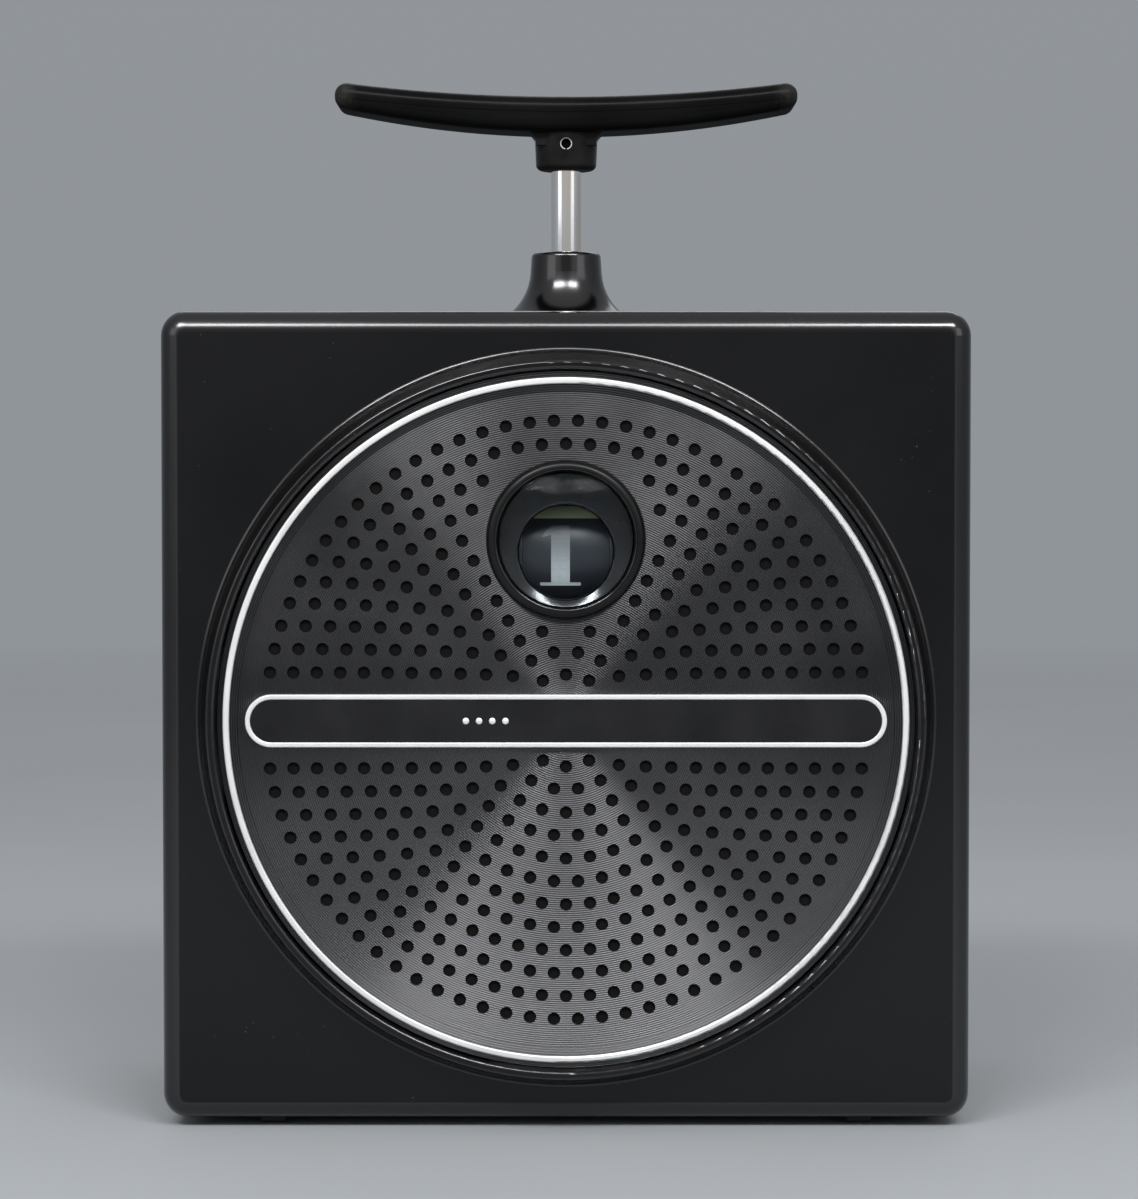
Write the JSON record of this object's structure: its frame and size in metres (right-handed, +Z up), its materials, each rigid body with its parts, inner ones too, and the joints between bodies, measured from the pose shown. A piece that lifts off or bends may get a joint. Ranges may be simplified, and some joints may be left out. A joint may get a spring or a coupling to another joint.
{
  "type": "8 track player",
  "caption": "Portable 8 track cartridge player: square case, round grille with a number window, and a T handle plunger that changes program.",
  "frame": {"origin": "on the supporting surface, under the middle of the case", "axes": "+X to the right seen from the front, the front faces -Y, +Z up along the plunger"},
  "size_m": [0.208, 0.12, 0.2729],
  "materials": {
    "case_plastic": "black, glossy, moulded",
    "grip_plastic": "black, satin, moulded",
    "grille_metal": "charcoal, satin, fine turned grooves",
    "bright_ring": "bright",
    "label_black": "dark field",
    "lens_clear": "clear, polished",
    "drum_black": "black drum with pale numerals",
    "chrome": "polished",
    "steel": "zinc plated",
    "brass": "turned",
    "white_plastic": "natural acetal",
    "inner_plastic": "black moulding",
    "cloth": "black, plain weave",
    "paper": "black paper cone",
    "ferrite": "grey ferrite",
    "rubber": "black",
    "board": "brown laminate"
  },
  "bodies": {
    "cabinet": {"front_cabinet": "case_plastic", "rear_cover": "case_plastic", "cabinet_screws": "steel", "rubber_feet": "rubber", "grille_panel": "grille_metal", "grille_ring": "bright_ring", "grille_cloth": "cloth", "label_plate": "label_black", "label_trim": "bright_ring", "lens_bezel": "case_plastic", "magnifier_lens": "lens_clear", "drum_bracket": "steel", "bracket_screws": "steel", "rod_bush": "white_plastic", "plunger_spring": "steel", "spring_seat": "steel", "lever_bracket": "steel", "lever_pin": "steel", "carriage_rails": "steel", "cartridge_bay": "inner_plastic", "flap_pin": "steel", "speaker_basket": "steel", "speaker_magnet": "ferrite", "speaker_cone": "paper", "speaker_screws": "steel", "chassis_plate": "steel", "chassis_screws": "steel", "motor": "steel", "motor_screws": "steel", "capstan_bearing": "brass", "flywheel_bracket": "steel", "drive_belt": "rubber", "battery_tray": "inner_plastic", "battery_contacts": "steel", "circuit_board": "board", "circuit_components": "inner_plastic", "slider_units": "steel", "earphone_socket": "inner_plastic", "dc_socket": "inner_plastic"},
    "plunger": {"plunger_rod": "chrome", "grip_upper": "grip_plastic", "grip_lower": "grip_plastic", "handle_pin": "steel", "rack_carrier": "white_plastic"},
    "indicator": {"number_drum": "drum_black", "drum_shaft": "steel", "drum_gear": "white_plastic", "program_cam": "white_plastic"},
    "head_lever": {"head_lever": "steel"},
    "head_carriage": {"head_carriage": "white_plastic", "tape_head": "steel"},
    "bay_flap": {"cartridge_flap": "case_plastic"},
    "motor_rotor": {"motor_pulley": "brass"},
    "flywheel": {"flywheel": "steel", "capstan_shaft": "steel"},
    "battery_door": {"battery_door": "case_plastic"},
    "volume": {"volume_knob": "grip_plastic"},
    "tone": {"tone_knob": "grip_plastic"}
  },
  "joints": [
    {"name": "plunger_slide", "type": "slide", "parent": "cabinet", "child": "plunger", "axis": [0, 0, 1], "range_m": [-0.014, 0], "stiffness_N_per_m": 260, "springref_m": 0.012, "deforming": ["plunger_spring"]},
    {"name": "drum_turn", "type": "hinge", "parent": "cabinet", "child": "indicator", "pos_m": [0, -0.0354, 0.1482], "axis": [1, 0, 0], "range_deg": [-90.5, 0]},
    {"name": "head_lever_tilt", "type": "hinge", "parent": "cabinet", "child": "head_lever", "pos_m": [-0.035, -0.0134, 0.1248], "axis": [1, 0, 0], "range_deg": [-2.21, 0]},
    {"name": "head_slide", "type": "slide", "parent": "cabinet", "child": "head_carriage", "axis": [0, 1, 0], "range_m": [-0.00085, 0]},
    {"name": "flap_swing", "type": "hinge", "parent": "cabinet", "child": "bay_flap", "pos_m": [0.0989, -0.0069, 0.0952], "axis": [0, 0, 1], "range_deg": [0, 88], "stiffness_Nm_per_rad": 0.004, "springref_deg": -28.65},
    {"name": "flywheel_turn", "type": "hinge", "parent": "cabinet", "child": "flywheel", "pos_m": [-0.0104, 0.0238, 0.133], "axis": [0, 1, 0], "continuous": true},
    {"name": "motor_turn", "type": "hinge", "parent": "cabinet", "child": "motor_rotor", "pos_m": [-0.066, 0.0238, 0.118], "axis": [0, 1, 0], "continuous": true},
    {"name": "battery_door_swing", "type": "hinge", "parent": "cabinet", "child": "battery_door", "pos_m": [0, 0.0588, 0.0235], "axis": [-1, 0, 0], "range_deg": [0, 85]},
    {"name": "volume_slide", "type": "slide", "parent": "cabinet", "child": "volume", "axis": [0, 0, 1], "range_m": [0, 0.04]},
    {"name": "tone_slide", "type": "slide", "parent": "cabinet", "child": "tone", "axis": [0, 0, 1], "range_m": [-0.02, 0.02]}
  ],
  "couplings": [
    {"joint": "drum_turn", "follows": "plunger_slide", "rad_per_m": 112.2},
    {"joint": "head_lever_tilt", "follows": "plunger_slide", "rad_per_m": 2.6333},
    {"joint": "head_slide", "follows": "plunger_slide", "ratio": 0.057143},
    {"joint": "motor_turn", "follows": "flywheel_turn", "ratio": 5.4545}
  ]
}
